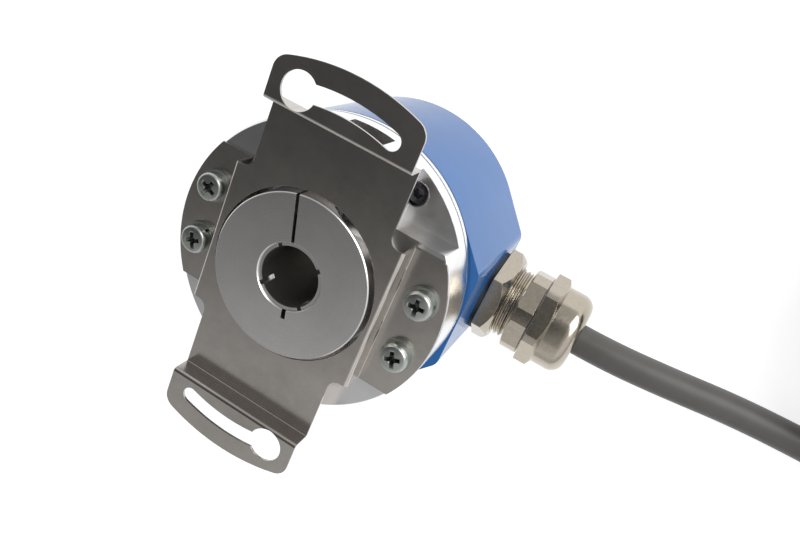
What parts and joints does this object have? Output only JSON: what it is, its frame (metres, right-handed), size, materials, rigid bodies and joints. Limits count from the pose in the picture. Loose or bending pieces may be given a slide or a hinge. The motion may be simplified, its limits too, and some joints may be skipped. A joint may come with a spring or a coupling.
{
  "type": "rotary encoder",
  "caption": "Hollow-shaft rotary encoder: blue round cover, turned flange, slotted clamp ring, sprung stator coupling with two slotted wings, hex cable gland and grey lead.",
  "frame": {"origin": "centre of the cover's flat back face, on the shaft axis", "axes": "+Z along the shaft axis towards the clamp ring, +X along the cable gland, the coupling's wings along +Y and -Y"},
  "size_m": [0.2115, 0.1276, 0.0579],
  "materials": {
    "blue_paint": "glossy blue stoved paint on die-cast metal",
    "turned_aluminium": "fine turned, bright",
    "spring_steel": "satin rolled stainless sheet",
    "turned_steel": "fine turned satin",
    "zinc_plate": "bright zinc plate",
    "black_oxide": "black oxide on alloy steel",
    "bearing_steel": "ground and polished",
    "brass_cage": "drawn brass strip",
    "black_rubber": "moulded nitrile rubber",
    "nickel_plate": "bright nickel plate on brass",
    "white_nylon": "moulded nylon",
    "black_plastic": "moulded plastic",
    "board_green": "solder mask on glass-epoxy board",
    "disc_metal": "etched nickel foil",
    "mask_glass": "chromed glass",
    "lamp_resin": "clear tinted resin",
    "ceramic_tan": "ceramic chip body",
    "grey_pvc": "smooth grey PVC jacket",
    "core_pvc": "coloured PVC insulation, one colour a core",
    "tinned_copper": "tin plate"
  },
  "bodies": {
    "housing": {"bearing_preload_washer": "spring_steel", "board_capacitors": "ceramic_tan", "board_chips": "black_plastic", "board_screws": "zinc_plate", "board_standoffs": "nickel_plate", "cable": "grey_pvc", "cable_coil": "grey_pvc", "cable_lead_in": "grey_pvc", "cable_tail": "grey_pvc", "circuit_board": "board_green", "coupling_screws": "zinc_plate", "coupling_spring_washers": "zinc_plate", "coupling_washers": "zinc_plate", "cover": "blue_paint", "cover_gasket": "black_rubber", "flange": "turned_aluminium", "front_bearing_outer_ring": "bearing_steel", "front_bearing_shields": "spring_steel", "gland_body": "nickel_plate", "gland_cap_nut": "nickel_plate", "gland_claw": "white_nylon", "gland_gasket": "black_rubber", "gland_locknut": "nickel_plate", "gland_seal": "black_rubber", "housing_circlip": "spring_steel", "housing_screws": "black_oxide", "inner_wires": "core_pvc", "lead_cores": "core_pvc", "lead_ferrules": "tinned_copper", "lead_sleeve": "black_plastic", "light_emitter": "lamp_resin", "light_holder": "black_plastic", "optical_sensor": "black_plastic", "outer_bearing_spacer": "turned_steel", "rear_bearing_outer_ring": "bearing_steel", "rear_bearing_shields": "spring_steel", "sensor_mask": "mask_glass", "shaft_seal": "black_rubber", "stator_coupling": "spring_steel", "wire_header": "white_nylon", "wire_plug": "white_nylon"},
    "shaft": {"hollow_shaft": "turned_steel", "clamp_ring": "turned_steel", "clamp_screw": "black_oxide", "front_bearing_inner_ring": "bearing_steel", "rear_bearing_inner_ring": "bearing_steel", "inner_bearing_spacer": "turned_steel", "shaft_circlip": "spring_steel", "disc_hub": "turned_aluminium", "disc_hub_screw": "black_oxide", "code_disc": "disc_metal", "disc_clamp_ring": "turned_aluminium", "disc_screws": "zinc_plate"},
    "rear_ball_set": {"rear_bearing_balls": "bearing_steel", "rear_bearing_cage": "brass_cage"},
    "front_ball_set": {"front_bearing_balls": "bearing_steel", "front_bearing_cage": "brass_cage"}
  },
  "joints": [
    {"name": "shaft_spin", "type": "hinge", "parent": "housing", "child": "shaft", "pos_m": [0, 0, 0.04], "axis": [0, 0, 1], "continuous": true},
    {"name": "rear_balls_orbit", "type": "hinge", "parent": "housing", "child": "rear_ball_set", "pos_m": [0, 0, 0.0345], "axis": [0, 0, 1], "continuous": true},
    {"name": "front_balls_orbit", "type": "hinge", "parent": "housing", "child": "front_ball_set", "pos_m": [0, 0, 0.042], "axis": [0, 0, 1], "continuous": true}
  ],
  "couplings": [
    {"joint": "rear_balls_orbit", "follows": "shaft_spin", "ratio": 0.44103},
    {"joint": "front_balls_orbit", "follows": "shaft_spin", "ratio": 0.44103}
  ]
}
